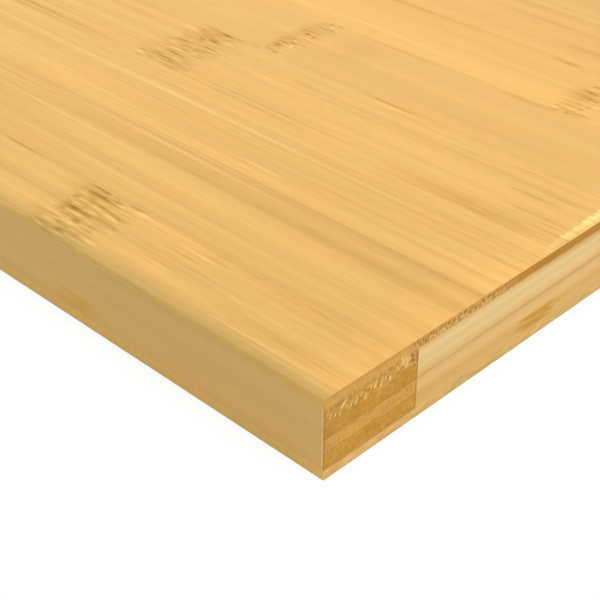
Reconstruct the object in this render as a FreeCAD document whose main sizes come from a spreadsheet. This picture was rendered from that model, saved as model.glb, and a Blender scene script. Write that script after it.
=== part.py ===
import FreeCAD, Part
import Sketcher

import os

# A solid bamboo shelf board, glued up from strips and then planed as one piece.
# Frame: millimetres, +Z up. The origin is the middle of the underside, +X runs along the board's length
# towards its right end, and the front edge faces -Y.

doc = FreeCAD.newDocument("ShelfBoard")

# Driving dimensions

SIZES = [
    ("board_length", 600, "length of the board, along X"),
    ("board_width", 200, "depth of the shelf, along Y"),
    ("top_ply_thickness", 1.7, "lengthwise strips of the top face"),
    ("core_strip_thickness", 5.65, "each of the two strips that make up the middle layer"),
    ("bottom_ply_thickness", 2.0, "crosswise strips of the underside"),
    ("top_strip_count", 11, "strips side by side in the top face"),
    ("first_top_strip_width", 15.5, "strip at the front edge, ripped narrower when the board was cut out"),
    ("last_top_strip_width", 5.4, "sliver of a strip that is left at the back edge"),
    ("bottom_strip_count", 30, "strips side by side in the underside, all equal"),
    ("rail_width", 20.4, "lengthwise strips along the front and back edges of the middle layer"),
    ("end_strip_width", 20.0, "outermost crosswise strip of the middle layer at each end"),
    ("top_edge_radius", 0.8, "rounding of the long top edges"),
    ("bottom_edge_radius", 0.3, "rounding of the long bottom edges"),
    ("end_arris", 0.15, "barely broken edge all round each sawn end"),
]

sizes = doc.addObject("Spreadsheet::Sheet", "Sizes")
for row, (name, value, meaning) in enumerate(SIZES, start=1):
    sizes.set(f"A{row}", meaning)
    sizes.set(f"B{row}", str(value))
    sizes.setAlias(f"B{row}", name)
doc.recompute()

# Heights of the glue planes, from the underside up

CORE_BOTTOM = "Sizes.bottom_ply_thickness"
CORE_MIDDLE = f"({CORE_BOTTOM} + Sizes.core_strip_thickness)"
CORE_TOP = f"({CORE_MIDDLE} + Sizes.core_strip_thickness)"
BOARD_TOP = f"({CORE_TOP} + Sizes.top_ply_thickness)"

# The ends and the long edges

LEFT_END = "(-Sizes.board_length / 2)"
RIGHT_END = "(Sizes.board_length / 2)"
FRONT_EDGE = "(-Sizes.board_width / 2)"
BACK_EDGE = "(Sizes.board_width / 2)"


# The planed outline of the whole board

START, END = 1, 2  # the two ends of a sketch line
SKETCH_ORIGIN = (-1, 1)
SAME_PLACE = 1e-6


def origin_plane(body, role):
    return next(item for item in body.Origin.OriginFeatures if item.Role == role)


def section_sketch(body):
    """The board's section across its length: a rectangle on the floor, centred on the origin."""
    sketch = body.newObject("Sketcher::SketchObject", "BoardSection")
    sketch.AttachmentSupport = (origin_plane(body, "YZ_Plane"), [""])
    sketch.MapMode = "FlatFace"
    front, back, top = (float(sizes.evalExpression(place)) for place in (FRONT_EDGE, BACK_EDGE, BOARD_TOP))
    corners = [FreeCAD.Vector(y, z, 0) for y, z in ((front, 0), (back, 0), (back, top), (front, top))]
    for start, end in zip(corners, corners[1:] + corners[:1]):
        sketch.addGeometry(Part.LineSegment(start, end), False)
    underside, back_line, top_line, front_line = range(4)
    for line, following in zip(range(4), (1, 2, 3, 0)):
        sketch.addConstraint(Sketcher.Constraint("Coincident", line, END, following, START))
    for line in (underside, top_line):
        sketch.addConstraint(Sketcher.Constraint("Horizontal", line))
    for line in (back_line, front_line):
        sketch.addConstraint(Sketcher.Constraint("Vertical", line))
    sketch.addConstraint(Sketcher.Constraint("Symmetric", underside, START, underside, END, *SKETCH_ORIGIN))
    across = Sketcher.Constraint("DistanceX", underside, START, underside, END, back - front)
    upwards = Sketcher.Constraint("DistanceY", back_line, START, back_line, END, top)
    width, height = sketch.addConstraint(across), sketch.addConstraint(upwards)
    sketch.setExpression(f"Constraints[{width}]", "Sizes.board_width")
    sketch.setExpression(f"Constraints[{height}]", BOARD_TOP)
    return sketch


def long_edges(shape, height):
    """Names of the edges that run along X at one height."""
    return [
        f"Edge{number}"
        for number, edge in enumerate(shape.Edges, start=1)
        if edge.BoundBox.ZLength < SAME_PLACE
        and edge.BoundBox.YLength < SAME_PLACE
        and abs(edge.CenterOfMass.z - height) < SAME_PLACE
    ]


def end_faces(shape):
    """Names of the two flat faces across the length."""
    return [
        f"Face{number}"
        for number, face in enumerate(shape.Faces, start=1)
        if face.BoundBox.XLength < SAME_PLACE
    ]


def planed_outline():
    body = doc.addObject("PartDesign::Body", "PlanedOutline")
    pad = body.newObject("PartDesign::Pad", "BoardPad")
    pad.Profile = section_sketch(body)
    pad.SideType = "Symmetric"
    pad.setExpression("Length", "Sizes.board_length")
    doc.recompute()

    top_round = body.newObject("PartDesign::Fillet", "TopEdgeRounding")
    top_round.Base = (pad, long_edges(pad.Shape, pad.Shape.BoundBox.ZMax))
    top_round.setExpression("Radius", "Sizes.top_edge_radius")
    doc.recompute()

    bottom_round = body.newObject("PartDesign::Fillet", "BottomEdgeRounding")
    bottom_round.Base = (top_round, long_edges(top_round.Shape, 0))
    bottom_round.setExpression("Radius", "Sizes.bottom_edge_radius")
    doc.recompute()

    end_bevel = body.newObject("PartDesign::Chamfer", "EndArris")
    end_bevel.Base = (bottom_round, end_faces(bottom_round.Shape))
    end_bevel.setExpression("Size", "Sizes.end_arris")
    doc.recompute()
    return body


outline = planed_outline()

# Strips: each is a sawn blank, and those that reach the board's surface are planed with it

pieces = []


def sawn_blank(name, low, high):
    """A rectangular strip between two corners, each given as three formulas."""
    blank = doc.addObject("Part::Box", name)
    for axis, start in zip("xyz", low):
        blank.setExpression(f"Placement.Base.{axis}", start)
    for side, start, end in zip(("Length", "Width", "Height"), low, high):
        blank.setExpression(side, f"{end} - {start}")
    return blank


def hidden_piece(name, low, high):
    piece = sawn_blank(name, low, high)
    piece.Label = name
    pieces.append(piece)


def planed_strip(name, low, high):
    """A strip that ends at the board's surface, with the rounding and bevels of the whole board."""
    piece = doc.addObject("Part::Common", name)
    piece.Base = sawn_blank(name + "_blank", low, high)
    piece.Tool = outline
    piece.Label = name
    pieces.append(piece)


def top_ply():
    """Full strips of one width lie between the narrower first and last one."""
    count = int(sizes.top_strip_count)
    first_joint = f"({FRONT_EDGE} + Sizes.first_top_strip_width)"
    last_joint = f"({BACK_EDGE} - Sizes.last_top_strip_width)"
    full_width = f"(({last_joint} - {first_joint}) / {count - 2})"
    joints = [f"({first_joint} + {number} * {full_width})" for number in range(count - 1)]
    fronts, backs = [FRONT_EDGE] + joints, joints + [BACK_EDGE]
    for number, (front, back) in enumerate(zip(fronts, backs), start=1):
        planed_strip(f"top_strip_{number:02d}", (LEFT_END, front, CORE_TOP), (RIGHT_END, back, BOARD_TOP))


def bottom_ply():
    """Equal strips, side by side from the left end to the right end."""
    count = int(sizes.bottom_strip_count)
    for number in range(1, count + 1):
        left = f"({LEFT_END} + {number - 1} * Sizes.board_length / {count})"
        right = f"({LEFT_END} + {number} * Sizes.board_length / {count})"
        planed_strip(f"bottom_strip_{number:02d}", (left, FRONT_EDGE, "0"), (right, BACK_EDGE, CORE_BOTTOM))


def middle_layer():
    behind_front_rail = f"({FRONT_EDGE} + Sizes.rail_width)"
    before_back_rail = f"({BACK_EDGE} - Sizes.rail_width)"
    inside_left = f"({LEFT_END} + Sizes.end_strip_width)"
    inside_right = f"({RIGHT_END} - Sizes.end_strip_width)"
    for tier, low, high in (("lower", CORE_BOTTOM, CORE_MIDDLE), ("upper", CORE_MIDDLE, CORE_TOP)):
        rails = {"front": (FRONT_EDGE, behind_front_rail), "back": (before_back_rail, BACK_EDGE)}
        for side, (front, back) in rails.items():
            planed_strip(f"{side}_rail_{tier}", (LEFT_END, front, low), (RIGHT_END, back, high))
        end_strips = {"left": (LEFT_END, inside_left), "right": (inside_right, RIGHT_END)}
        for side, (left, right) in end_strips.items():
            corners = (left, behind_front_rail, low), (right, before_back_rail, high)
            planed_strip(f"{side}_end_strip_{tier}", *corners)
        corners = (inside_left, behind_front_rail, low), (inside_right, before_back_rail, high)
        hidden_piece(f"inner_core_{tier}", *corners)


top_ply()
middle_layer()
bottom_ply()
doc.recompute()

# Every feature is sound and every piece is one valid solid before anything is written

for item in doc.Objects:
    if "Invalid" in item.State or "Error" in item.State:
        raise RuntimeError(f"{item.Name} did not build: {item.State}")
for piece in pieces:
    if piece.Shape.isNull() or not piece.Shape.isValid() or len(piece.Shape.Solids) != 1:
        raise RuntimeError(f"{piece.Label} is not one valid solid")

os.makedirs("parts", exist_ok=True)
for piece in pieces:
    piece.Shape.exportStep(os.path.join("parts", piece.Label + ".step"))
print(len(pieces), "pieces, thickness", outline.Shape.BoundBox.ZLength)
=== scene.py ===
# %% [markdown]
# # A bamboo shelf board
# The board is glued up from bamboo strips and planed to one smooth slab, 600 by 200 by 15 mm. Its
# shape is finished before this script starts: every strip arrives as an exact solid. What is left to
# make here is what the eye checks first on bamboo: fibres that run the right way on every face, the
# fringed knuckle marks, the darker cut ends of the fibres and the fine glue joints.

import math
import random

import bpy
from mathutils import Matrix, Vector


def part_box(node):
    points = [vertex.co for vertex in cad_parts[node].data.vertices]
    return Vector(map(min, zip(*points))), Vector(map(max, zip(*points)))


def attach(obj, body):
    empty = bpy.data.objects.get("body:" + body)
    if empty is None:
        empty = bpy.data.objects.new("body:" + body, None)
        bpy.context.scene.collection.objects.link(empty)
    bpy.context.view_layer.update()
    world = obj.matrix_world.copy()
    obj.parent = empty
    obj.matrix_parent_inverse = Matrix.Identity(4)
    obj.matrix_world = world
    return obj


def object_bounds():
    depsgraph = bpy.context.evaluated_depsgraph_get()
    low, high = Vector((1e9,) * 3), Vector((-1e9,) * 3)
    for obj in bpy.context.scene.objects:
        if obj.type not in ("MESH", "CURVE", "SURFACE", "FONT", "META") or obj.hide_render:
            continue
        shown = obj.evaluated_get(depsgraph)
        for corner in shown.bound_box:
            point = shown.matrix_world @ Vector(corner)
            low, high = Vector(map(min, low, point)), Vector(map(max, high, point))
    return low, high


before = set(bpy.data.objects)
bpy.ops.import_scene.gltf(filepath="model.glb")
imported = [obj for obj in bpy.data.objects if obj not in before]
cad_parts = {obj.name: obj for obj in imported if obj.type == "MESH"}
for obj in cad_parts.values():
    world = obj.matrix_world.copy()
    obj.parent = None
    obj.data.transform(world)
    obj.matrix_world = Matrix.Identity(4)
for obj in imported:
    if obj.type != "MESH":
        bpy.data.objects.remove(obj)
board_low, board_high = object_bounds()
print("strips:", len(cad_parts), " board:", [round(side, 4) for side in board_high - board_low])

# %% [markdown]
# Everything on the board is measured from its photographed corner, where the front edge meets the
# right sawn end. One helper turns such a measure into a point of the frame, so that the numbers below
# are the ones a ruler on the board would give, in millimetres.

# %% Measure from the photographed corner
MM = 0.001
RIGHT_END = board_high.x
FRONT_EDGE = board_low.y
BOARD_LONG = (board_high.x - board_low.x) / MM
BOARD_DEEP = (board_high.y - board_low.y) / MM


def on_board(from_right, from_front, height):
    """A point of the frame, from millimetres along the front edge, in from it, and up from the floor."""
    return Vector((RIGHT_END - from_right * MM, FRONT_EDGE + from_front * MM, height * MM))


print("corner:", [round(value, 4) for value in on_board(0, 0, 0)])

# %% [markdown]
# ## The camera
# The photograph looks down on the corner from about 35 degrees. The straight edges of the board fix
# the camera completely: its direction, its lens, and how far away it stands. The corner's lowest point
# is put at its own pixel, and the camera then backs away from it along its line of sight.

# %% Place the camera
PHOTO_SIDE = 600
CORNER_PIXEL = (323.2, 481.7)
CORNER_DEPTH = 0.2044
SENSOR = 36.0
LENS = 84.4
TURN, LOOK_DOWN, ROLL = math.radians(44.24), math.radians(34.63), math.radians(0.24)

camera_data = bpy.data.cameras.new("photo_camera")
camera_data.lens = LENS
camera_data.sensor_width = SENSOR
camera_data.clip_start = 0.01
camera = bpy.data.objects.new("photo_camera", camera_data)
bpy.context.scene.collection.objects.link(camera)
bpy.context.scene.camera = camera

aim = (
    Matrix.Rotation(TURN, 4, "Z")
    @ Matrix.Rotation(math.pi / 2 - LOOK_DOWN, 4, "X")
    @ Matrix.Rotation(ROLL, 4, "Z")
)
pixel = SENSOR / LENS / PHOTO_SIDE
to_corner = CORNER_DEPTH * Vector((
    (CORNER_PIXEL[0] - PHOTO_SIDE / 2) * pixel,
    (PHOTO_SIDE / 2 - CORNER_PIXEL[1]) * pixel,
    -1,
))
camera.matrix_world = Matrix.Translation(on_board(0, 0, 0) - aim.to_3x3() @ to_corner) @ aim
print("camera at", [round(value, 4) for value in camera.matrix_world.translation])

# %% [markdown]
# ## Light and floor
# The photograph is a plain packshot: soft light from everywhere, a little more on the sawn end than on
# the front edge, and a background that is pure white. A pale sky gives the soft part, and one broad
# lamp from the right and above gives the rest. The two together light the top face at a level of one,
# so that a colour looks there as it is written in its material.

# %% Light the board
SKY_LIGHT = 0.53
LAMP_LIGHT = 0.50
LAMP_ABOVE, LAMP_FROM = math.radians(62), math.radians(104)
LAMP_SOFTNESS = math.radians(30)


def white_for_the_eye(nodes, links, seen, other):
    """Mixes two shaders: one for what shows in the picture or in a shiny surface, one for other light."""
    path = nodes.new("ShaderNodeLightPath")
    share = path.outputs["Is Camera Ray"]
    for ray in ("Is Glossy Ray", "Is Transmission Ray"):
        either = nodes.new("ShaderNodeMath")
        either.operation = "MAXIMUM"
        links.new(share, either.inputs[0])
        links.new(path.outputs[ray], either.inputs[1])
        share = either.outputs[0]
    mixed = nodes.new("ShaderNodeMixShader")
    links.new(share, mixed.inputs[0])
    links.new(other, mixed.inputs[1])
    links.new(seen, mixed.inputs[2])
    return mixed.outputs[0]


def make_sky():
    world = bpy.data.worlds.new("studio_sky")
    world.use_nodes = True
    nodes, links = world.node_tree.nodes, world.node_tree.links
    nodes.clear()
    skies = []
    for strength in (1.0, SKY_LIGHT):
        sky = nodes.new("ShaderNodeBackground")
        sky.inputs["Color"].default_value = (1, 1, 1, 1)
        sky.inputs["Strength"].default_value = strength
        skies.append(sky.outputs[0])
    output = nodes.new("ShaderNodeOutputWorld")
    links.new(white_for_the_eye(nodes, links, *skies), output.inputs["Surface"])
    bpy.context.scene.world = world


def make_lamp():
    lamp_data = bpy.data.lights.new("broad_lamp", "SUN")
    lamp_data.energy = LAMP_LIGHT * math.pi / math.sin(LAMP_ABOVE)
    lamp_data.angle = LAMP_SOFTNESS
    lamp = bpy.data.objects.new("broad_lamp", lamp_data)
    lean = Matrix.Rotation(math.pi / 2 - LAMP_ABOVE, 4, "X")
    lamp.matrix_world = Matrix.Rotation(LAMP_FROM, 4, "Z") @ lean
    bpy.context.scene.collection.objects.link(lamp)
    return lamp


make_sky()
lamp = make_lamp()
bpy.context.scene.view_settings.view_transform = "Standard"
print("lamp strength", round(lamp.data.energy, 3))

# %% [markdown]
# The floor is white in the picture and still takes the board's soft shadow. For the eye, most of its
# white is plain emission and the rest is a lit surface, and only that rest can darken. For the light
# that bounces back onto the board it is an ordinary pale surface. It lies a hair lower than the board,
# because two faces in one plane would flicker where the camera looks up at them.

# %% Lay the floor
FLOOR_HALF = 6.0
FLOOR_GAP = 0.02 * MM
FLOOR_GLOW, FLOOR_LIT, FLOOR_BOUNCE = 0.86, 0.18, 0.84


def make_floor():
    mesh = bpy.data.meshes.new("floor")
    signs = ((-1, -1), (1, -1), (1, 1), (-1, 1))
    corners = [(x * FLOOR_HALF, y * FLOOR_HALF, -FLOOR_GAP) for x, y in signs]
    mesh.from_pydata(corners, [], [(0, 1, 2, 3)])
    material = bpy.data.materials.new("floor_white")
    material.use_nodes = True
    nodes, links = material.node_tree.nodes, material.node_tree.links
    nodes.clear()
    glow = nodes.new("ShaderNodeEmission")
    glow.inputs["Strength"].default_value = FLOOR_GLOW
    surfaces = []
    for albedo in (FLOOR_LIT, FLOOR_BOUNCE):
        surface = nodes.new("ShaderNodeBsdfDiffuse")
        surface.inputs["Color"].default_value = (albedo, albedo, albedo, 1)
        surfaces.append(surface.outputs[0])
    seen = nodes.new("ShaderNodeAddShader")
    links.new(glow.outputs[0], seen.inputs[0])
    links.new(surfaces[0], seen.inputs[1])
    output = nodes.new("ShaderNodeOutputMaterial")
    links.new(white_for_the_eye(nodes, links, seen.outputs[0], surfaces[1]), output.inputs["Surface"])
    mesh.materials.append(material)
    floor = bpy.data.objects.new("floor", mesh)
    bpy.context.scene.collection.objects.link(floor)
    return floor


print("floor:", make_floor().name)

# %% [markdown]
# ## Shader maths
# A bamboo finish is mostly arithmetic on positions: how far along the fibre, how far across the strip.
# Wiring that by hand gives dozens of Math nodes and no way to read them. The small class here wraps one
# socket, and each operator on it adds the Math node that does the sum, so a finish reads as a formula.

# %% Wrap a socket
class Wire:
    """One socket of a finish that can stand in a Python sum."""

    def __init__(self, finish, socket):
        self.finish, self.socket = finish, socket

    def maths(self, operation, *values):
        return self.finish.node("Math", {"operation": operation}, dict(enumerate(values)))

    def __add__(self, other):
        return self.maths("ADD", self, other)

    def __sub__(self, other):
        return self.maths("SUBTRACT", self, other)

    def __rsub__(self, other):
        return self.maths("SUBTRACT", other, self)

    def __mul__(self, other):
        return self.maths("MULTIPLY", self, other)

    def __truediv__(self, other):
        return self.maths("DIVIDE", self, other)

    __radd__, __rmul__ = __add__, __mul__

    def __abs__(self):
        return self.maths("ABSOLUTE", self)

    def larger(self, other):
        return self.maths("MAXIMUM", self, other)

    def rise(self, start, end):
        """0 before start, 1 after end, and a soft step between them. Start may be the larger one."""
        ends = {"Value": self, "From Min": start, "From Max": end}
        return self.finish.node("MapRange", {"interpolation_type": "SMOOTHSTEP"}, ends)

    def near(self, middle, half, soft):
        """1 within half of the middle, and 0 past half plus soft."""
        return abs(self - middle).rise(half + soft, half)

    def between(self, start, end, soft):
        """1 from start to end, and 0 past either of them by soft."""
        return self.near((start + end) / 2, (end - start) / 2, soft)


# %% [markdown]
# A finish is one material while it is being built. Any node comes from its one `node` method, which
# takes the kind of node, its settings, and the values or wires of its sockets. Colours are written as
# a screen shows them and turned into the linear light that Blender calculates with.

# %% Build a finish
SHINE = 0.25


def screen_colour(red, green, blue):
    """A colour given as 0 to 255 on a screen, as linear light."""
    def linear(value):
        value /= 255
        return value / 12.92 if value <= 0.04045 else ((value + 0.055) / 1.055) ** 2.4

    return (linear(red), linear(green), linear(blue), 1.0)


class Finish:
    """One material while it is being built."""

    def __init__(self, name):
        self.material = bpy.data.materials.new(name)
        self.material.use_nodes = True
        self.tree = self.material.node_tree
        self.tree.nodes.clear()

    def node(self, kind, settings=None, sockets=None, output=0):
        made = self.tree.nodes.new("ShaderNode" + kind)
        for setting, value in (settings or {}).items():
            if setting == "stops":
                self.set_stops(made.color_ramp, value)
            else:
                setattr(made, setting, value)
        for socket, value in (sockets or {}).items():
            if isinstance(value, Wire):
                self.tree.links.new(value.socket, made.inputs[socket])
            else:
                made.inputs[socket].default_value = value
        return Wire(self, made.outputs[output])

    @staticmethod
    def set_stops(ramp, stops):
        while len(ramp.elements) < len(stops):
            ramp.elements.new(1.0)
        for element, (place, colour) in zip(ramp.elements, stops):
            element.position = place
            element.color = colour

    def vector(self, x, y, z):
        return self.node("CombineXYZ", {}, {"X": x, "Y": y, "Z": z})

    def mix(self, share, first, second):
        """A colour between two colours: sockets 6 and 7 of a Mix node, and its output 2."""
        return self.node("Mix", {"data_type": "RGBA"}, {0: share, 6: first, 7: second}, 2)

    def brighten(self, colour, amount):
        """A colour times a number that may change over the surface."""
        return self.node("VectorMath", {"operation": "SCALE"}, {0: colour, "Scale": amount})

    def tint(self, colour, red, green, blue):
        """A colour with each of its three parts times a number of its own."""
        parts = self.vector(red, green, blue)
        return self.node("VectorMath", {"operation": "MULTIPLY"}, {0: colour, 1: parts})

    def done(self, colour, roughness, height):
        """Joins the last nodes. Height is the relief of the surface in millimetres."""
        bump = self.node("Bump", {}, {"Height": height, "Distance": MM, "Strength": 1.0})
        surface = self.node("BsdfPrincipled", {}, {
            "Base Color": colour,
            "Roughness": roughness,
            "Normal": bump,
            "Specular IOR Level": SHINE,
        })
        last = self.tree.nodes.new("ShaderNodeOutputMaterial")
        self.tree.links.new(surface.socket, last.inputs["Surface"])
        return self.material


print("a mid grey as light:", round(screen_colour(128, 128, 128)[0], 3))

# %% [markdown]
# ## What bamboo looks like
# A bamboo stem is a tube of pale soft tissue with strong dark fibres bundled in it. The fibres run the
# length of the stem, thin and spaced out near the inner wall, thick and crowded near the outer skin.
# So one solid pattern serves every face of a strip: noise that is drawn out along the fibres shows as
# fine lines on a long face, and the same fibres show as dots where the strip is cut across. Every strip
# takes its noise from a place of its own, so that no two strips repeat each other.

# %% Lay fibres in a strip
SEED_STEP, OFFSET_STEP = 7.13, 3.7


class Grain:
    """Where a point lies in a strip, in mm: along its fibres, across them, and up from the floor."""

    def __init__(self, finish, node, lengthwise, seed):
        place = finish.node("TexCoord", {}, {}, "Object")
        x, y, z = (finish.node("SeparateXYZ", {}, {0: place}, axis) for axis in range(3))
        from_right = (RIGHT_END - x) * (1 / MM)
        from_front = (y - FRONT_EDGE) * (1 / MM)
        low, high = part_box(node)
        right, left = (RIGHT_END - high.x) / MM, (RIGHT_END - low.x) / MM
        front, back = (low.y - FRONT_EDGE) / MM, (high.y - FRONT_EDGE) / MM
        self.finish, self.seed = finish, seed
        self.up, self.bottom, self.top = z * (1 / MM), low.z / MM, high.z / MM
        if lengthwise:
            self.along, self.across, self.edges = from_right, from_front, (front, back)
        else:
            self.along, self.across, self.edges = from_front, from_right, (right, left)
        normal = finish.node("NewGeometry", {}, {}, "Normal")
        facing = [abs(finish.node("SeparateXYZ", {}, {0: normal}, axis)) for axis in (0, 1)]
        self.cut = facing[0 if lengthwise else 1].rise(0.5, 0.65)
        self.side = facing[1 if lengthwise else 0].rise(0.55, 0.9)

    def shift(self, offset):
        """How far a pattern is moved, so that each strip and each use has its own part of it."""
        return self.seed * SEED_STEP + offset * OFFSET_STEP

    def noise(self, long, wide, offset=0.0, detail=2.0):
        """Noise from 0 to 1 in blotches of one length along the fibres and one width across them."""
        shift = self.shift(offset)
        place = self.finish.vector(self.along / long + shift, self.across / wide + shift, self.up / wide)
        settings = {"Vector": place, "Scale": 1.0, "Detail": detail, "Roughness": 0.55}
        return self.finish.node("TexNoise", {}, settings)

    def cut_noise(self, wide, high, offset=0.0, slant=0.0, detail=2.0):
        """Noise from 0 to 1 for a face that cuts the fibres, in blotches of one width and one height."""
        sideways = (self.across - (self.up - self.bottom) * slant) / wide
        place = self.finish.vector(sideways, self.up / high, self.shift(offset))
        settings = {"Vector": place, "Scale": 1.0, "Detail": detail, "Roughness": 0.6}
        return self.finish.node("TexNoise", {}, settings)

    def joint(self):
        """1 on the glue joint at either side of the strip, 0 about half a millimetre away."""
        front, back = self.edges
        to_joint = (back - front) / 2 - abs(self.across - (front + back) / 2)
        return to_joint.rise(0.55, 0.0)


# %% [markdown]
# The long faces come first. Fibre bundles that lie in the planed surface draw long straight lines, and
# between them the soft tissue is paler. All of that is one number, the shade: 0 is the palest bamboo, 2
# is the darkest, and most of the board is near one half. It is a sum of noise in four sizes, from bands
# as wide as a pencil down to flecks. One pair of colours then turns the shade into bamboo, so that dark
# lines come out deep and warm, not grey. Where fibres are dark the surface is also a little rougher and
# lower.

# %% Shade the long faces
LIGHT_BAMBOO = screen_colour(255, 204, 120)
DARKEST_BAMBOO = screen_colour(160, 110, 10)
MID_SHADE = 0.52
DARK_IS_ROUGHER = 0.08
DARK_IS_LOWER = -0.02


def fibre_shade(grain, streaky=1.0):
    """How dark the fibres make a face that they run along."""
    bands = grain.noise(190, 4.5, 1) - 0.5
    lines = grain.noise(110, 1.2, 2) - 0.5
    hairs = grain.noise(40, 0.5, 3) - 0.5
    flecks = grain.noise(5, 0.6, 4) - 0.5
    return MID_SHADE + (0.8 * bands + 0.55 * lines + 0.3 * hairs + 0.35 * flecks) * streaky


def bamboo(grain, shade, tone=1.0, warmth=0.0, yellow=0.0):
    """The colour for a shade. Warmth turns it redder, or greener below zero. Yellow takes blue away."""
    finish = grain.finish
    mottle = (grain.noise(16, 5, 5) - 0.5) * 0.10
    colour = finish.mix(shade / 2, LIGHT_BAMBOO, DARKEST_BAMBOO)
    red = mottle + 1 + warmth * 0.03
    blue = 1 - warmth * 0.03 - yellow
    return finish.tint(colour, red * tone, tone, blue * tone)


print("the darkest bamboo as light:", [round(part, 3) for part in DARKEST_BAMBOO[:3]])

# %% [markdown]
# ## Marks
# On top of the noise come the marks that one can point at. Every one of them is a spindle, a long thin
# ellipse with soft edges that follows the fibres and adds to the shade, or takes some away. A vector that
# is moved and stretched so that the spindle becomes a circle makes each of them three nodes and a sum:
# the vector's length is how far a point lies from the middle, as a share of the way to the rim. The
# places were all read a little too near the corner, and one small offset puts that right.

# %% Draw the marks
READING_OFFSET = 0.3
RIM, FULL = 1.05, 0.05


def add_marks(grain, along, across, marks):
    """The shade that marks add. Each is (along, across, half length, half width, added shade)."""
    finish = grain.finish
    place = finish.vector(along - READING_OFFSET, across - READING_OFFSET, 0.0)
    total = 0
    for middle_along, middle_across, long, wide, depth in marks:
        stretch = (1 / long, 1 / wide, 0)
        move = (-middle_along / long, -middle_across / wide, 0)
        round_it = {0: place, 1: stretch, 2: move}
        from_middle = finish.node("VectorMath", {"operation": "MULTIPLY_ADD"}, round_it)
        share = finish.node("VectorMath", {"operation": "LENGTH"}, {0: from_middle}, 1)
        fade = {"Value": share, "From Min": RIM, "From Max": FULL, "To Max": depth}
        total = total + finish.node("MapRange", {"interpolation_type": "SMOOTHSTEP"}, fade)
    return total


# %% [markdown]
# ## Knuckles
# Every 25 cm or so a bamboo stem has a node, a thin wall across the tube. Sanded flat it leaves a
# fringe across the strip: a row of short pale ridges, each with its own dark groove beside it. Four such
# knuckles show in the photograph, and their ridges and grooves are marks like any other: positive ones
# are grooves, negative ones are ridges. Their dark is partly the node's own colour and partly painted
# shade in the grooves, and their pale is partly painted highlight on the ridges. Broad soft shadows lie
# under them.

# %% Place the knuckles that show
# For each strip with a knuckle: the knuckle's middle along the strip, and how far its fringe reaches.
SEEN_KNUCKLES = {1: (63, 8), 4: (100.5, 7), 5: (87, 4), 6: (27.5, 4)}

# For each mark: its place along and across the fibres, half length, half width, and added shade.
KNUCKLE_SHADOWS = [
    (64.0, 8.5, 10.0, 15.0, 0.42), (66.5, 14.2, 12.0, 2.8, 0.34), (67.6, 6.8, 2.4, 3.4, 0.20),
    (100.5, 66.0, 10.0, 17.0, 0.38), (99.5, 73.2, 10.0, 4.0, 0.28), (95.5, 57.0, 6.0, 2.6, 0.34),
    (88.8, 86.0, 2.8, 9.5, 0.26), (87.5, 85.0, 5.0, 15.0, 0.12), (88.3, 78.2, 2.6, 3.2, 0.34),
    (29.5, 104.0, 4.0, 5.0, 0.20), (27.0, 101.0, 8.0, 12.0, 0.25),
]

# Positive marks are grooves, partly painted shade; negative marks are ridges, partly painted highlight.
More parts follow.
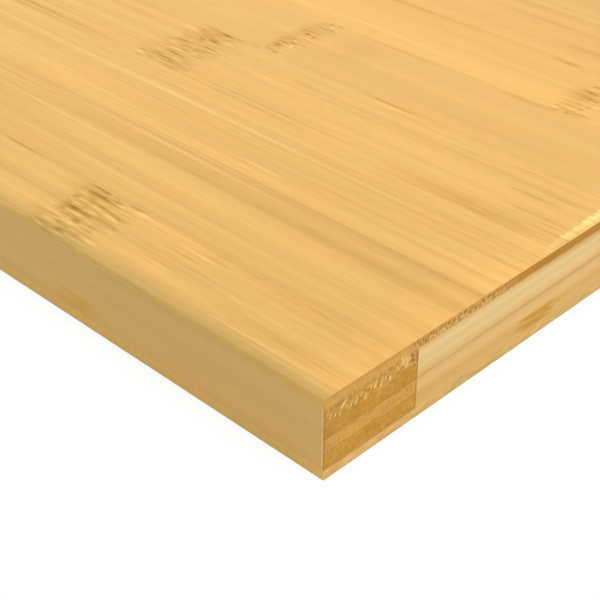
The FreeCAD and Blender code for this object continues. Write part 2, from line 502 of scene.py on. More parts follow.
KNUCKLE_MARKS = [
    # First strip.
    (62.3, 1.5, 2.2, 0.8, 0.8), (66.5, 1.3, 2.8, 0.6, 0.8), (56.8, 3.3, 2.4, 0.4, 0.5),
    (64.4, 3.4, 1.6, 0.5, 0.6), (58.5, 4.6, 1.8, 1.2, 0.35), (62.4, 5.2, 1.6, 0.8, 0.95),
    (65.2, 5.4, 2.0, 0.6, 0.5), (67.6, 6.6, 1.0, 0.7, 0.5), (62.6, 7.6, 2.4, 0.5, 0.6),
    (65.8, 7.8, 2.4, 0.7, 0.8), (57.5, 8.2, 3.0, 0.6, 0.4), (68.3, 8.6, 1.4, 0.6, 0.5),
    (58.0, 10.7, 2.4, 0.7, 0.7), (60.0, 11.0, 1.4, 0.5, 0.6), (62.4, 11.2, 2.6, 0.6, 0.9),
    (65.3, 11.0, 1.4, 0.6, 0.5), (68.8, 10.6, 1.3, 0.9, 0.9), (65.0, 13.3, 2.6, 0.8, 0.8),
    (67.4, 13.1, 1.9, 0.9, 0.8), (61.6, 14.1, 2.4, 0.5, 0.8), (57.0, 15.1, 2.6, 0.5, 0.6),
    (65.6, 14.9, 1.4, 0.8, 0.4), (68.2, 15.1, 2.0, 0.6, 0.4), (61.8, 0.7, 2.4, 0.4, -0.5),
    (66.2, 0.6, 1.6, 0.4, -0.5), (56.0, 2.6, 3.4, 0.6, -0.6), (60.6, 2.9, 2.0, 0.5, -0.3),
    (66.2, 2.6, 2.6, 0.6, -0.6), (63.2, 4.2, 3.6, 0.5, -0.7), (60.6, 6.0, 2.2, 0.6, -0.4),
    (64.4, 6.8, 2.8, 0.5, -0.7), (70.2, 6.1, 2.6, 0.5, -0.4), (62.6, 8.7, 2.6, 0.6, -0.6),
    (66.8, 9.0, 2.2, 0.6, -0.5), (59.0, 9.9, 3.0, 0.6, -0.6), (63.0, 10.2, 2.2, 0.5, -0.4),
    (63.5, 12.1, 2.6, 0.5, -0.45), (68.4, 11.9, 2.0, 0.4, -0.4), (60.4, 13.5, 1.8, 0.5, -0.45),
    (56.0, 14.7, 2.4, 0.4, -0.4), (60.8, 14.9, 1.6, 0.4, -0.4), (64.2, 14.7, 1.4, 0.5, -0.4),
    # Fourth strip.
    (100.7, 58.2, 4.8, 0.5, 0.9), (97.8, 57.5, 1.6, 0.6, 0.5), (103.3, 58.9, 2.2, 0.5, 0.6),
    (99.4, 55.9, 1.9, 0.5, 0.4), (102.4, 56.3, 1.9, 0.5, 0.4), (106.2, 57.2, 1.5, 0.4, 0.7),
    (100.0, 60.8, 4.2, 0.55, 0.9), (102.2, 61.1, 1.6, 0.4, 0.4), (100.2, 63.3, 1.2, 0.4, 0.4),
    (97.8, 64.3, 1.6, 0.5, 0.35), (104.6, 62.8, 2.0, 0.4, 0.4), (103.6, 66.4, 3.4, 0.45, 0.8),
    (104.8, 67.8, 2.2, 0.8, 0.5), (95.6, 65.8, 3.2, 0.4, 0.5), (96.6, 67.2, 3.0, 0.4, 0.5),
    (97.4, 68.3, 1.6, 0.4, 0.4), (101.4, 68.6, 1.2, 0.4, 0.6), (101.5, 69.5, 1.0, 0.45, 1.0),
    (98.6, 70.4, 2.0, 0.65, 1.0), (103.0, 71.3, 1.6, 0.6, 0.4), (104.3, 73.0, 2.8, 0.45, 0.8),
    (98.9, 74.3, 3.2, 0.65, 1.2), (95.2, 74.6, 2.2, 0.5, 0.5), (103.4, 74.7, 3.2, 0.4, 0.7),
    (105.8, 56.4, 1.7, 0.5, -0.5), (98.0, 59.3, 3.0, 0.5, -0.5), (105.0, 60.2, 2.6, 0.4, -0.4),
    (100.9, 62.6, 1.9, 0.45, -0.5), (97.3, 63.2, 1.7, 0.5, -0.5), (99.8, 65.3, 1.2, 0.4, -0.7),
    (103.2, 65.3, 3.2, 0.45, -0.4), (95.5, 66.5, 2.0, 0.35, -0.4), (98.8, 69.3, 1.7, 0.4, -0.5),
    (95.6, 71.6, 2.2, 0.5, -0.4), (99.6, 72.1, 2.0, 0.4, -0.4), (98.4, 73.2, 1.6, 0.4, -0.4),
    (107.5, 71.8, 3.2, 0.7, -0.4), (104.8, 64.5, 2.2, 0.6, -0.3),
    # Fifth strip.
    (86.2, 75.6, 1.3, 0.6, 0.9), (90.8, 75.1, 1.0, 0.5, 0.6), (89.3, 76.7, 1.0, 0.8, 0.4),
    (88.2, 78.6, 1.3, 0.9, 0.9), (87.8, 80.6, 1.3, 0.5, 0.5), (86.4, 81.4, 1.2, 0.55, 1.0),
    (89.6, 82.2, 1.8, 1.0, 0.4), (85.5, 86.5, 1.1, 0.65, 1.1), (87.5, 86.8, 0.9, 0.7, 1.1),
    (86.1, 89.0, 1.1, 0.6, 0.6), (85.3, 91.8, 1.4, 0.6, 0.5), (86.8, 91.2, 1.2, 0.8, 0.4),
    (84.8, 94.3, 1.4, 0.5, 0.7), (86.9, 93.9, 1.2, 0.6, 0.9), (85.8, 80.3, 0.9, 0.8, -0.5),
    (86.9, 82.5, 0.9, 0.4, -0.6), (84.4, 81.0, 1.0, 0.7, -0.3), (86.0, 92.9, 1.1, 0.4, -0.4),
    # Sixth strip.
    (27.3, 95.6, 1.1, 0.6, 1.0), (25.9, 96.1, 1.3, 0.7, 0.6), (29.6, 95.3, 1.7, 0.5, 1.0),
    (28.6, 96.5, 2.2, 0.5, 0.7), (30.4, 97.0, 1.1, 0.45, 0.7), (26.0, 98.4, 1.0, 0.6, 0.8),
    (24.2, 96.6, 1.5, 1.0, 0.4), (27.6, 100.2, 1.5, 0.5, 0.6), (25.5, 100.2, 1.1, 0.7, 0.6),
    (25.7, 103.1, 0.9, 0.5, 0.7), (27.5, 103.5, 1.2, 0.9, 0.3), (28.8, 106.0, 2.2, 0.6, 1.0),
    (27.5, 105.5, 1.6, 0.6, 0.6), (29.4, 108.7, 1.1, 0.6, 0.7), (30.3, 96.1, 1.1, 0.5, -0.7),
    (27.8, 97.6, 1.7, 0.4, -0.5), (24.4, 101.3, 1.0, 0.7, -0.6), (29.3, 107.2, 1.6, 0.5, -0.5),
]
print("knuckle marks:", len(KNUCKLE_MARKS), " shadows:", len(KNUCKLE_SHADOWS))

# %% [markdown]
# A strip that shows no knuckle gets a seeded one further along. The later knuckles of a strip reuse the
# marks of its first one: the place along the strip is wrapped round at the spacing of the stem nodes,
# and then pushed about by noise, so that no two of them look the same.

# %% Draw the knuckles
# Scales for the grooves' dark, partly painted shade, and the ridges' pale, partly painted highlight.
GROOVE_PAINTED_SHADE, RIDGE_PAINTED_HIGHLIGHT = 0.72, 1.05
KNUCKLE_RELIEF = -0.06
STEM_NODE_SPACING = 236
PHOTO_REACH = 150
GROOVE_TO_RIDGE = 0.9


def unseen_knuckle(edges, rng, earliest, latest):
    """Where the first knuckle of a strip is that shows none, and seeded marks for it."""
    front, back = edges
    first = rng.uniform(earliest, latest)
    reach = rng.uniform(3.5, 7.5)
    shadows = [(first, (front + back) / 2, 8.0, (back - front) * 0.6, 0.25)]
    marks = []
    across = front + rng.uniform(0.6, 1.4)
    while across < back - 0.3:
        along = first + rng.uniform(-3, 3)
        # A groove adds dark, partly painted shade; the ridge beside it adds pale, partly painted
        # highlight.
        groove = rng.uniform(1.2, 4.5), rng.uniform(0.4, 0.7), rng.uniform(0.4, 1.1)
        marks.append((along, across, *groove))
        along = first + rng.uniform(-3, 3)
        ridge = rng.uniform(1.2, 4.0), rng.uniform(0.35, 0.6), rng.uniform(-0.6, -0.3)
        marks.append((along, across + GROOVE_TO_RIDGE, *ridge))
        across += rng.uniform(1.5, 2.3)
    return first, reach, marks, shadows


def knuckle_shade(grain, first, reach, marks, shadows):
    """What knuckles add to the shade, at the first place and at every stem node after it."""
    half = STEM_NODE_SPACING / 2
    later = grain.along.rise(PHOTO_REACH, PHOTO_REACH + 30)
    along = grain.along + later * (grain.noise(60, 3, 13) - 0.5) * 12
    along = along + (grain.noise(3, 0.9, 14) - 0.5) * 0.8
    across = grain.across + later * (grain.noise(90, 6, 15) - 0.5) * 5
    across = across + (grain.noise(2.5, 1.5, 16) - 0.5) * 0.5
    wrapped = along.maths("WRAP", along, first + half, first - half)
    marks = [(*place, depth * (GROOVE_PAINTED_SHADE if depth > 0 else RIDGE_PAINTED_HIGHLIGHT)) for *place, depth in marks]
    fringe = abs(wrapped - first + (grain.noise(3, 0.8, 18) - 0.5) * 6).rise(reach + 1, reach - 2)
    ridges = fringe * (grain.noise(6, 0.7, 17, detail=1.0) - 0.5) * 1.4
    return (add_marks(grain, wrapped, across, marks + shadows) + ridges) * (1 - grain.side)


print("stem nodes every", STEM_NODE_SPACING, "mm")

# %% [markdown]
# Where a knuckle is sanded only at its rim, it is no fringe but a soft brown stain. The same stain
# serves for the edges of the board, where single knuckles are cut through.

# %% Stain a patch
STAIN = screen_colour(204, 150, 54)
OLIVE_STAIN = screen_colour(220, 174, 66)
# For each stain: its middle along the strip, half its length, its two heights, and its strength.
FRONT_STAIN = (56.5, 5.5, 2.4, 5.4, 0.65)
END_STAIN = (51.0, 5.6, 2.7, 4.9, 0.95)


def stain(grain, colour, middle, half, low, high, strength, stained):
    """A soft brown patch round one place along the strip, between two heights."""
    finish = grain.finish
    ragged = (grain.noise(5, 0.6, 31) - 0.5) * 12
    patch = (grain.along + ragged).near(middle, half * 0.4, half * 0.8) * grain.up.between(low, high, 0.5)
    streaks = 0.3 + grain.noise(7, 0.7, 32).rise(0.32, 0.58)
    return finish.mix(patch * streaks * strength, colour, stained)


print("stain as light:", [round(part, 3) for part in STAIN[:3]])

# %% [markdown]
# ## Cut ends
# Sawn across, the pale tissue darkens and the fibre bundles show. A Voronoi texture scatters one dot in
# each cell. Cells that are taller than they are wide turn the dots into dashes, and a slant leans them
# over, as the saw does.

# %% Colour the cut ends
BUNDLE_RELIEF, SCRATCH_RELIEF = -0.04, 0.05


def cut_end(grain, cell_wide, cell_high, ground, dark, stipple=1.0, slant=0.25, rough=1.0):
    """Colour and relief of a face that cuts the fibres, with bundles of the given spacing."""
    finish = grain.finish
    height = grain.up - grain.bottom
    sideways = grain.across - height * slant
    scratches = grain.cut_noise(0.6, 1.1, 1, slant, detail=3.0)
    cell_across = sideways / cell_wide + scratches * 0.35
    cell_up = height / cell_high + scratches * 0.3
    cells = {"Vector": finish.vector(cell_across, cell_up, 0.0), "Scale": 1.0, "Randomness": 0.6}
    dots = finish.node("TexVoronoi", {"voronoi_dimensions": "2D"}, cells)
    bundles = dots.rise(0.55, 0.2) * stipple
    blotches = grain.cut_noise(1.3, 2.0, 6, slant)
    uneven = 1 + (0.32 * (scratches - 0.5) + 0.36 * (blotches - 0.5)) * rough
    colour = finish.brighten(finish.mix(bundles, ground, dark), uneven)
    return colour, bundles * BUNDLE_RELIEF + scratches * SCRATCH_RELIEF


print("relief of a fibre bundle:", BUNDLE_RELIEF, "mm")

# %% [markdown]
# ## The top ply
# The top strips get all of this. Each strip has its own tone, its own knuckles and its own streaks, at
# the places where the photograph shows them. Further along, where nothing shows, knuckles and streaks
# follow at the spacing that a stem has.

# %% Describe the top strips
# For each strip: tone, warmth, extra shade, and how streaky it is.
TOP_STRIPS = {
    1: (0.98, 0.1, 0.08, 1.25), 2: (0.98, 0.1, 0.04, 1.0), 3: (0.995, 0.3, 0.0, 1.15),
    4: (1.0, 0.4, 0.02, 1.05), 5: (0.995, 0.4, 0.0, 0.45), 6: (1.035, 1.2, 0.02, 0.75),
    7: (1.00, 1.0, 0.04, 0.5), 8: (0.98, 0.0, 0.03, 0.9), 9: (1.00, 0.3, 0.0, 0.7),
    10: (0.97, 0.0, 0.06, 1.0), 11: (0.97, 0.2, 0.04, 0.8),
}

# For each streak: distance from the front edge, half width, added shade, and the distances of its two
# ends from the right end.
STREAKS = [
    (2.7, 0.5, -0.24, 0, 32), (1.7, 0.4, -0.16, -9, 26), (4.4, 1.8, 0.20, -9, 39),
    (6.2, 0.4, -0.2, 37, 48), (3.2, 0.6, -0.10, -6, 20), (5.4, 1.2, 0.20, -12, 42),
    (8.5, 2.0, -0.26, -28, 48), (14.5, 1.3, 0.34, -16, 50), (15.0, 0.8, 0.18, 20, 52),
    (7.2, 1.2, -0.14, -12, 12), (6.8, 0.4, 0.25, 37, 48), (10.9, 0.4, 0.25, 36, 48),
    (12.6, 0.5, -0.2, 31, 48), (13.4, 0.4, 0.25, 32, 41), (13.0, 2.6, 0.05, -5, 33),
    (11.4, 1.2, -0.10, 0, 36), (15.2, 0.9, 0.24, 44, 66), (14.3, 0.8, -0.14, 46, 68),
    (15.1, 0.6, 0.45, 80, 100), (15.2, 0.9, 0.22, 60, 104), (29.0, 0.8, -0.18, 20, 125),
    (35.7, 0.5, 0.18, 12, 108), (38.2, 1.6, 0.07, -20, 110), (20.2, 0.5, -0.20, 15, 105),
    (21.3, 0.5, 0.16, 15, 110), (25.2, 0.9, -0.18, 34, 116), (28.1, 0.8, -0.25, 55, 125),
    (23.8, 0.5, 0.10, 90, 145), (30.4, 2.8, 0.24, -70, 160), (30.6, 2.0, 0.08, -40, 34),
    (31.9, 0.5, 0.25, 90, 160), (35.2, 2.4, 0.12, -90, 220), (35.5, 1.0, 0.34, -60, 66),
    (33.7, 0.8, -0.24, 26, 118), (39.7, 0.5, -0.3, 44, 62), (39.7, 0.5, -0.2, 76, 135),
    (43.5, 4.0, 0.08, 44, 120), (45.4, 0.5, 0.12, -25, 25), (47.4, 1.4, -0.10, 45, 155),
    (48.9, 0.5, 0.10, 110, 132), (41.4, 1.9, -0.26, -40, 42), (46.8, 1.2, -0.16, -16, 16),
    (48.2, 1.3, -0.38, 6, 175), (52.0, 1.8, -0.10, 18, 135), (49.8, 0.5, 0.15, 11, 29),
    (50.5, 0.5, 0.26, 80, 101), (55.0, 1.8, 0.40, 106, 190), (56.0, 2.8, 0.34, -10, 48),
    (55.1, 0.8, 0.34, 2, 34), (55.1, 0.6, 0.30, 34, 98), (57.1, 0.6, 0.20, 32, 98),
    (55.7, 0.8, 0.28, 40, 112), (54.3, 0.9, 0.20, -12, 48), (57.9, 0.45, 0.50, -9, 10),
    (59.6, 0.5, 0.28, 1, 9), (64.8, 1.8, 0.18, -14, 24), (60.8, 0.9, 0.28, -8, 22),
    (65.6, 0.6, 0.36, 6, 20), (67.9, 0.5, 0.2, 3, 14), (65.7, 1.6, -0.14, 60, 98),
    (68.1, 0.5, 0.16, 74, 97), (69.3, 0.5, -0.12, -5, 52), (69.0, 0.5, 0.16, 62, 76),
    (72.0, 0.5, 0.2, 57, 86), (70.3, 0.6, 0.14, 19, 39), (71.3, 0.6, -0.25, 18, 54),
    (72.7, 0.5, 0.26, 39, 55), (73.7, 0.5, -0.3, 42, 63), (74.7, 0.9, 0.42, 43, 63),
    (72.1, 0.5, 0.2, 12, 23), (74.0, 0.5, 0.25, 4, 21), (69.8, 0.7, 0.18, 102, 155),
    (79.2, 1.4, 0.10, 6, 66), (88.0, 9.0, 0.12, 66, 82), (94.4, 1.2, 0.28, 26, 46),
    (94.4, 1.0, 0.2, 52, 84), (113.6, 3.6, 0.20, 38, 170), (114.0, 0.9, 0.45, 35, 45),
    (114.2, 0.8, 0.35, 56, 170), (121.2, 1.6, 0.22, 28, 51), (128.5, 1.2, 0.18, 36, 76),
    (133.6, 3.0, 0.34, 20, 220), (56.2, 0.9, 0.42, 98, 190), (59.0, 0.6, 0.24, 112, 172),
    (73.2, 1.6, 0.14, 104, 142), (82.5, 2.6, -0.12, 84, 138), (98.0, 1.6, -0.14, 80, 125),
]
print("streaks:", len(STREAKS))

# %% [markdown]
# Streaks are marks too. Fibres never run dead straight, so noise bends the streaks a little and breaks
# them up along their length.

# %% Draw the streaks
LATER_STREAKS, STREAK_SPACING = 165, 60


def streaks_of(edges, rng):
    """The photographed streaks on a strip, and seeded ones further along."""
    front, back = edges
    streaks = [streak for streak in STREAKS if front <= streak[0] < back]
    for start in range(LATER_STREAKS, int(BOARD_LONG), STREAK_SPACING):
        begin, depth = start + rng.uniform(0, 40), rng.choice((-0.25, 0.2, 0.3, 0.4))
        across, wide = rng.uniform(front + 0.5, back - 0.5), rng.uniform(0.5, 1.4)
        streaks.append((across, wide, depth, begin, begin + rng.uniform(20, 110)))
    return streaks


def streak_shade(grain, streaks):
    """What the streaks add to the shade."""
    broken = 0.8 + 0.9 * grain.noise(9, 2.2, 9)
    bent = grain.across + (grain.noise(60, 25, 10, detail=0.0) - 0.5) * 0.5
    marks = [
        ((start + end) / 2, across, (end - start) / 2, wide, depth)
        for across, wide, depth, start, end in streaks
    ]
    return add_marks(grain, grain.along, bent, marks) * broken


print("seeded streaks start", LATER_STREAKS, "mm from the right end")

# %% [markdown]
# Two things change towards the edges. The front edge is eased by hand, and over its last three
# millimetres it is darker and greener: painted shade of a rounding wider than the solid's, and a greener
# lacquer. At the sawn end the lacquer is chipped and wears pale, in patches that start where the third
# joint meets the end; their pale is partly wear and partly a painted highlight on the rolled rim.

# %% Wear the edges
EASED_FAR, EASED_NEAR = 4.6, -0.6
WORN_PALE_AND_HIGHLIGHT = screen_colour(255, 240, 150)
WORN_PEACH = screen_colour(255, 216, 138)
WORN_START, WORN_FULL, WORN_END = 50, 57, 150
# For each patch of painted highlight: its two sides from the front edge, the softness of its rim, and its
# strength.
PAINTED_HIGHLIGHT_PATCHES = ((58.8, 60.5, 0.4, 0.75), (62.3, 63.4, 0.3, 0.6))


def eased_edge_shade(grain, colour):
    """Painted shade of the rounded front edge, darker and greener, and the same on the back edge."""
    from_edge = BOARD_DEEP / 2 - abs(grain.across - BOARD_DEEP / 2)
    # Painted shade: the top darkens over the last millimetres before the edge, as a wider rounding would.
    share = from_edge.rise(EASED_FAR, EASED_NEAR) * grain.up.rise(14.2, 14.9)
    under = grain.side * grain.up.between(13.6, 14.8, 0.4)
    return grain.finish.tint(colour, 1 - share * 0.30, 1 - share * 0.22, 1 - share * 0.24 - under * 0.10)


def worn_and_highlit_end(grain, colour):
    """Pale patches of wear and painted highlight along the sawn end, with a rim of peach and dark cuts
    between them.
    """
    finish = grain.finish
    ragged = (grain.noise(2.4, 0.8, 41) - 0.5) * 1.8 + (grain.noise(1.0, 0.35, 43) - 0.5) * 1.0
    fade = grain.across.rise(WORN_END, WORN_END - 30)
    reach = (grain.across.rise(WORN_START, WORN_FULL) * 2.1 + grain.across.rise(63, 67) * 0.2) * fade
    edge = (grain.along + ragged).rise(reach + 0.3, reach - 0.3)
    chips = grain.noise(2.6, 0.42, 42).rise(0.40, 0.58)
    solid = grain.across.rise(58.2, 58.8)
    rim = (grain.along + ragged * 0.5).rise(0.4, 1.5)
    wear_and_highlight_zone = edge * (0.25 + 0.75 * rim)
    colour = finish.mix(wear_and_highlight_zone * (0.15 + 0.45 * chips + 0.2 * solid), colour, WORN_PEACH)
    # The pale patches are a painted highlight where the chipped lacquer rolls over the end.
    bright = grain.across.rise(63.9, 64.7)
    for start, end, soft, strength in PAINTED_HIGHLIGHT_PATCHES:
        bright = bright.larger(grain.across.between(start, end, soft) * strength)
    return finish.mix(wear_and_highlight_zone * bright * (0.35 + 0.5 * chips), colour, WORN_PALE_AND_HIGHLIGHT)


print("bright patches:", len(PAINTED_HIGHLIGHT_PATCHES))

# %% [markdown]
# The sawn end of this ply changes along the board. Over the corner block it is smooth and light, then
# come the dashes of the fibre bundles, and past the second joint it is plain and brown.

# %% Dress the top strips
PLY_END_LIGHT = screen_colour(215, 163, 82)
PLY_END_STIPPLED = screen_colour(221, 173, 94)
PLY_END_BROWN = screen_colour(188, 132, 43)
PLY_BUNDLE = screen_colour(177, 126, 49)
PLY_LIP = screen_colour(224, 180, 110)
STIPPLE_START, STIPPLE_END = 18.6, 43.0
JOINT_DARKER, JOINT_LOWER = 0.14, -0.02
LACQUER_ROUGHNESS = 0.46
UNSEEN_KNUCKLE_FROM, UNSEEN_KNUCKLE_TO = 170, 222


def ply_end(grain):
    """Colour and relief of the top ply's sawn end."""
    finish = grain.finish
    dashes = grain.across.rise(STIPPLE_START, STIPPLE_START + 1)
    brown = grain.across.rise(STIPPLE_END - 6, STIPPLE_END + 4)
    ground = finish.mix(brown, finish.mix(dashes, PLY_END_LIGHT, PLY_END_STIPPLED), PLY_END_BROWN)
    stipple = dashes * (1 - 0.75 * brown) * 0.95 + 0.08
    colour, relief = cut_end(grain, 0.64, 1.0, ground, PLY_BUNDLE, stipple, slant=0.05)
    arris = grain.up.rise(14.6, 14.9) * (0.55 + 0.25 * brown)
    wavy = grain.up + (grain.cut_noise(2.0, 4.0, 9) - 0.5) * 0.5
    lip = wavy.rise(grain.bottom + 0.4, grain.bottom) * dashes
    return finish.mix(lip * 0.9, finish.mix(arris, colour, PLY_BUNDLE), PLY_LIP), relief


def seen_or_unseen_knuckle(grain, number, rng):
    """The first knuckle of a top strip: the one in the photograph, or else a seeded one."""
    if number not in SEEN_KNUCKLES:
        return unseen_knuckle(grain.edges, rng, UNSEEN_KNUCKLE_FROM, UNSEEN_KNUCKLE_TO)
    front, back = grain.edges
    own = [
        [mark for mark in table if front <= mark[1] + READING_OFFSET < back]
        for table in (KNUCKLE_MARKS, KNUCKLE_SHADOWS)
    ]
    return *SEEN_KNUCKLES[number], *own


def finish_top_strip(node, number):
    rng = random.Random(number)
    finish = Finish(f"top_strip_finish_{number:02d}")
    grain = Grain(finish, node, True, number)
    tone, warmth, extra, streaky = TOP_STRIPS[number]
    ridges = knuckle_shade(grain, *seen_or_unseen_knuckle(grain, number, rng))
    streaks = streak_shade(grain, streaks_of(grain.edges, rng))
    joint = grain.joint() * grain.noise(40, 6, 7).rise(0.42, 0.66)
    near_end = grain.along.rise(11, 1)
    shade = fibre_shade(grain, streaky) + extra + streaks + ridges
    shade = shade + joint * JOINT_DARKER - 0.10 * near_end
    warmth = warmth + streaks * 1.4 + near_end * grain.across.rise(62, 50) * 1.3
    warmth = warmth - grain.side * grain.up.rise(15.1, 13.5) * 1.9
    warmth = warmth + abs(ridges) * (0.8 - 2.8 * grain.across.rise(9, 3))
    band = grain.side * grain.up.near(13.8, 0.3, 0.6)
    # Painted light: the top is a little darker within 110 mm of the sawn end, where less light falls.
    tone = tone * (0.985 + 0.02 * grain.along.rise(0, 110) - 0.03 * band)
    colour = bamboo(grain, shade, tone, warmth, abs(ridges) * 0.15)
    colour = worn_and_highlit_end(grain, eased_edge_shade(grain, colour))
    end_colour, end_relief = ply_end(grain)
    colour = finish.mix(grain.cut, colour, end_colour)
    relief = ridges * KNUCKLE_RELIEF + joint * JOINT_LOWER + shade * DARK_IS_LOWER
    rough = LACQUER_ROUGHNESS + DARK_IS_ROUGHER * shade + 0.30 * grain.cut
    return finish.done(colour, rough, relief + grain.cut * end_relief)


def dress(node, material):
    """Puts a finish on a strip."""
    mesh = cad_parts[node].data
    mesh.materials.clear()
    mesh.materials.append(material)


top_strips = sorted(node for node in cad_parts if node.startswith("top_strip"))
for number, node in enumerate(top_strips, start=1):
    dress(node, finish_top_strip(node, number))
print("top strips:", len(top_strips))

# %% [markdown]
# ## The rails
# Under the top ply, a pair of rails runs along each long edge. On the long faces they show plain bamboo.
# At the sawn ends each rail is light at its top, the inner wall of the stem, and dark at its bottom, the
# outer wall, where the fibre bundles crowd together. The change is quick, so a steep soft step in
# height, pushed up and down a little by noise, draws it. On the upper rail the saw has torn it ragged.

# %% Dress the rails
INNER_WALL = screen_colour(213, 161, 77)
TORN_WALL = screen_colour(208, 158, 74)
OUTER_WALL = screen_colour(202, 151, 63)
AMBER_WALL = screen_colour(199, 144, 44)
RAIL_BUNDLE = screen_colour(176, 124, 44)
# The pale of the painted highlight along the upright arris at the sawn end.
PAINTED_ARRIS_HIGHLIGHT = screen_colour(240, 214, 144)
CORNER_BLOCK_WIDE = 20.4
GRID_END = 20.2
RAIL_ROUGHNESS = 0.50
RAIL_SEED = 31


def rail_end(grain, torn):
    """Colour and relief of a rail's sawn end. Torn says how ragged its upper half is."""
    finish = grain.finish
    teeth = (grain.cut_noise(0.9, 3.0, 2) - 0.5) * (0.9 + 3.0 * torn)
    teeth = teeth + (grain.cut_noise(5, 9, 3) - 0.5) * 1.5
    depth = (grain.up + teeth).rise(grain.bottom + 2.4, grain.bottom + 3.4)
    wall = finish.mix(depth, OUTER_WALL, TORN_WALL if torn else INNER_WALL)
    amber = grain.cut_noise(2.6, 1.6, 4).rise(0.40, 0.58) * (1 - depth)
    wall = finish.mix(amber * 0.95, wall, AMBER_WALL)
    seam = (grain.up + teeth * 0.2).rise(grain.bottom + 0.6, grain.bottom - 0.1)
    seam = seam.larger((1 - abs(depth * 2 - 1)) * (1 - torn) * 0.7)
    wall = finish.mix(seam * (0.25 + 0.4 * grain.cut_noise(2.2, 2.0, 12)), wall, RAIL_BUNDLE)
    across = BOARD_DEEP / 2 - abs(grain.across - BOARD_DEEP / 2)
    gridded = across.between(STIPPLE_START, GRID_END, 0.3) * depth * torn
    specks = 0.25 + 0.35 * depth * torn + 0.4 * gridded
    colour, relief = cut_end(grain, 0.55, 0.8, wall, RAIL_BUNDLE, specks, slant=-0.1)
    colour = finish.brighten(colour, 1 + 0.7 * torn * depth * (grain.cut_noise(0.9, 2.2, 5, -0.3) - 0.5))
    uneven = 0.66 + 0.30 * grain.cut_noise(0.9, 2.6, 10) + 0.38 * grain.cut_noise(7, 0.5, 11)
    colour = finish.brighten(colour, uneven)
    glue = across.near(CORNER_BLOCK_WIDE, 0.2, 0.35).larger(across.rise(1.1, 0.1) * 0.5)
    glue = glue * (0.25 + 0.7 * grain.cut_noise(3, 1.2, 8))
    return finish.mix(glue, colour, RAIL_BUNDLE), relief * (1 + torn)


def finish_rail(node, seed):
    finish = Finish(node + "_finish")
    grain = Grain(finish, node, True, seed)
    shade = fibre_shade(grain, 0.5) + 0.06 * grain.up.rise(8, 3)
    tone, warmth = 0.965 + 0.025 * grain.up.rise(9, 5), -1.9 + 0.9 * grain.up.rise(9, 3)
    colour = bamboo(grain, shade, tone, warmth)
    if node == "front_rail_lower":
        colour = stain(grain, colour, *FRONT_STAIN, OLIVE_STAIN)
    # Painted highlight: a thin pale line on the rail's front face along the sawn end's upright arris.
    colour = finish.mix(grain.along.rise(0.6, 0.3) * grain.side * 0.55, colour, PAINTED_ARRIS_HIGHLIGHT)
    end_colour, end_relief = rail_end(grain, 1.0 if "upper" in node else 0.0)
    colour = finish.mix(grain.cut, colour, end_colour)
    rough = RAIL_ROUGHNESS + DARK_IS_ROUGHER * shade + 0.25 * grain.cut
    return finish.done(colour, rough, shade * DARK_IS_LOWER + grain.cut * end_relief)


rails = sorted(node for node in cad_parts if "_rail_" in node)
for seed, node in enumerate(rails, start=RAIL_SEED):
    dress(node, finish_rail(node, seed))
print("rails:", rails)

# %% [markdown]
# On the photographed corner the saw tore some fibres out of the upper rail instead of cutting them. They
# stand a sixth of a millimetre proud, each one a pale sliver that points down. A sliver is a flat
# pyramid drawn out along its own line: six corners round its rim, one crest, and a few triangles.

# %% Tear the fibres
TORN_FIBRE = screen_colour(240, 196, 118)

# Each sliver: its tip and its root, as distance from the front edge and height, then its width.
SLIVERS = [
    (3.0, 11.4, 5.4, 13.3, 0.80), (6.3, 10.4, 7.3, 12.3, 0.80), (8.4, 10.1, 9.1, 11.8, 0.66),
    (10.4, 10.8, 11.3, 13.2, 0.86), (11.8, 10.4, 12.6, 12.8, 0.72), (14.1, 10.4, 13.9, 12.2, 0.80),
    (16.0, 11.3, 15.4, 13.2, 0.60), (16.9, 11.7, 16.7, 14.2, 1.15), (17.7, 10.8, 17.4, 14.5, 1.25),
    (18.3, 11.7, 18.1, 14.0, 0.95), (1.0, 10.7, 1.7, 12.5, 0.44), (2.0, 10.6, 2.6, 12.0, 0.44),
    (5.2, 10.7, 6.1, 12.1, 0.44), (7.5, 11.2, 8.3, 12.8, 0.44), (9.6, 11.3, 10.2, 12.8, 0.44),
    (13.0, 11.2, 13.3, 12.9, 0.48), (15.0, 10.5, 14.7, 12.0, 0.44), (2.9, 10.4, 3.8, 11.4, 0.38),
    (0.5, 11.6, 1.2, 13.2, 0.36),
]
PROUD, SUNK = 0.16, 0.04
SLIVER_SEED = 61
BELLY, NECK, NECK_WIDE = 0.28, 0.7, 0.6


def sliver(tip_front, tip_up, root_front, root_up, wide):
    """Corners and triangles of one torn fibre: widest near its tip, flush with the end at its root."""
    lean = Vector((0, root_front - tip_front, root_up - tip_up)).normalized()
    side = Vector((0, -lean.z, lean.y)) * wide / 2
    tip, root = Vector((0, tip_front, tip_up)), Vector((0, root_front, root_up))
    belly, neck = tip.lerp(root, BELLY), tip.lerp(root, NECK)
    neck_side = side * NECK_WIDE
    outline = [tip, belly + side, neck + neck_side, root, neck - neck_side, belly - side]
    corners = [on_board(SUNK, point.y, point.z) for point in outline]
    crest = on_board(-PROUD, belly.y, belly.z)
    faces = [(corner, (corner + 1) % 6, 6) for corner in range(6)]
    return corners + [crest], faces + [(5, 4, 3, 2, 1, 0)]


def make_slivers():
    corners, faces = [], []
    for shape in SLIVERS:
        own_corners, own_faces = sliver(*shape)
        faces += [tuple(corner + len(corners) for corner in face) for face in own_faces]
        corners += own_corners
    mesh = bpy.data.meshes.new("torn_fibres")
    mesh.from_pydata(corners, [], faces)
    mesh.validate()
    piece = bpy.data.objects.new("torn_fibres", mesh)
    bpy.context.scene.collection.objects.link(piece)
    return piece


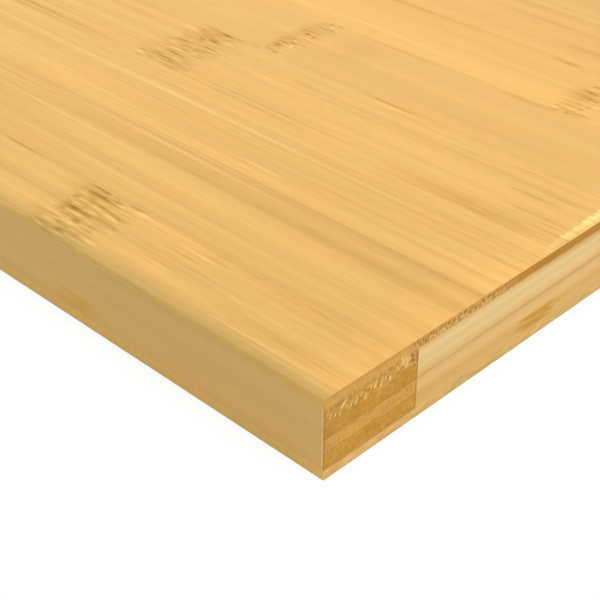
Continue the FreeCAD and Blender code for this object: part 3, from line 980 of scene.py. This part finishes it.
def finish_slivers():
    finish = Finish("torn_fibre_finish")
    grain = Grain(finish, "front_rail_upper", True, SLIVER_SEED)
    place = finish.vector(0.0, grain.across * 3, grain.up)
    fuzz = finish.node("TexNoise", {}, {"Vector": place, "Scale": 1.0})
    colour = finish.mix(fuzz.rise(0.4, 0.66) * 0.7, TORN_FIBRE, TORN_WALL)
    return finish.done(colour, 0.7 + 0.1 * fuzz, fuzz * 0.02)


torn_fibres = make_slivers()
torn_fibres.data.materials.append(finish_slivers())
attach(torn_fibres, "root")
print("slivers:", len(SLIVERS), "with", len(torn_fibres.data.polygons), "faces")

# %% [markdown]
# ## The crosswise strips
# Between the rails the strips lie across the board, so the sawn end shows their pale long sides. Their
# colour follows the depth in the stem's wall again, this time as level layers. A colour ramp over the
# height holds those layers, and a slow noise lets them rise and fall a little.

# %% Dress the crosswise strips
UPPER_LAYERS = [
    (0.00, screen_colour(214, 167, 96)), (0.08, screen_colour(224, 183, 114)),
    (0.30, screen_colour(233, 197, 130)), (0.55, screen_colour(232, 198, 134)),
    (0.72, screen_colour(236, 203, 142)), (0.84, screen_colour(231, 194, 126)),
    (0.94, screen_colour(222, 180, 106)), (1.00, screen_colour(196, 148, 74)),
]
LOWER_LAYERS = [
    (0.00, screen_colour(219, 175, 97)), (0.35, screen_colour(220, 175, 96)),
    (0.50, screen_colour(226, 181, 106)), (0.72, screen_colour(230, 189, 120)),
    (0.92, screen_colour(225, 182, 112)), (1.00, screen_colour(214, 168, 98)),
]
CROSS_ROUGHNESS = 0.60
SAWN_FIBRE_RELIEF = -0.03
CROSS_SEED = 51


def finish_cross_strip(node, seed):
    finish = Finish(node + "_finish")
    grain = Grain(finish, node, False, seed)
    shade = fibre_shade(grain)
    drift = (grain.noise(60, 4, 23) - 0.5) * 1.2 + (grain.noise(12, 2, 26) - 0.5) * 0.5
    share = (grain.up - READING_OFFSET + drift - grain.bottom) / (grain.top - grain.bottom)
    layers = UPPER_LAYERS if "upper" in node else LOWER_LAYERS
    colour = finish.node("ValToRGB", {"stops": layers}, {0: share})
    mottle = (grain.noise(7, 1.5, 25) - 0.5) * 0.08
    light = 1.0 - 0.35 * (shade - MID_SHADE)
    colour = finish.tint(colour, light + mottle, light, light - mottle)
    if node == "right_end_strip_lower":
        colour = stain(grain, colour, *END_STAIN, STAIN)
    end_colour, end_relief = cut_end(grain, 0.7, 0.9, INNER_WALL, RAIL_BUNDLE, 0.5)
    colour = finish.mix(grain.cut, colour, end_colour)
    rough = CROSS_ROUGHNESS + DARK_IS_ROUGHER * shade
    return finish.done(colour, rough, shade * SAWN_FIBRE_RELIEF + grain.cut * end_relief)


cross_strips = sorted(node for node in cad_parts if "_end_strip_" in node or "inner_core" in node)
for seed, node in enumerate(cross_strips, start=CROSS_SEED):
    dress(node, finish_cross_strip(node, seed))
print("crosswise strips:", cross_strips)

# %% [markdown]
# ## The bottom ply
# The underside is made of strips that run across the board as well. Along the front edge only their cut
# ends show, as a thin band that the saw and the sander have left almost as pale as the rail above it.

# %% Dress the bottom strips
BOTTOM_END = screen_colour(236, 192, 101)
BOTTOM_BUNDLE = screen_colour(206, 156, 70)
BOTTOM_ROUGHNESS = 0.48
BOTTOM_SEED, BOTTOM_DRAWS = 70, 100
BOTTOM_KNUCKLE_FROM, BOTTOM_KNUCKLE_TO = 20, 180
LAST_BOTTOM_STRIP = 30


def finish_bottom_strip(node, number):
    rng = random.Random(BOTTOM_DRAWS + number)
    finish = Finish(f"bottom_strip_finish_{number:02d}")
    grain = Grain(finish, node, False, BOTTOM_SEED + number)
    last = number == LAST_BOTTOM_STRIP
    tone = 0.865 + 0.03 * grain.along.rise(18, 24) if last else rng.uniform(0.92, 1.0)
    warmth = grain.along.rise(24, 18) * 1.2 - 1.0 if last else rng.uniform(-0.5, 0.8)
    ridges = 0.0
    if number % 3:
        seeded = unseen_knuckle(grain.edges, rng, BOTTOM_KNUCKLE_FROM, BOTTOM_KNUCKLE_TO)
        ridges = knuckle_shade(grain, *seeded)
    joint = grain.joint() * grain.noise(40, 6, 7).rise(0.42, 0.66)
    shade = fibre_shade(grain, rng.uniform(0.6, 1.0)) + joint * 0.16 + ridges
    shade = shade + (grain.noise(3.5, 1.1, 27) - 0.5) * (1.7 if last else 0.3)
    colour = bamboo(grain, shade, tone, warmth - grain.side * 1.2)
    end_colour, end_relief = cut_end(grain, 0.75, 1.2, BOTTOM_END, BOTTOM_BUNDLE, 0.1, rough=0.5)
    colour = finish.mix(grain.cut, colour, end_colour)
    relief = ridges * KNUCKLE_RELIEF + shade * DARK_IS_LOWER + grain.cut * end_relief
    return finish.done(colour, BOTTOM_ROUGHNESS + DARK_IS_ROUGHER * shade, relief)


bottom_strips = sorted(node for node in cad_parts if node.startswith("bottom_strip"))
for number, node in enumerate(bottom_strips, start=1):
    dress(node, finish_bottom_strip(node, number))
print("bottom strips:", len(bottom_strips))
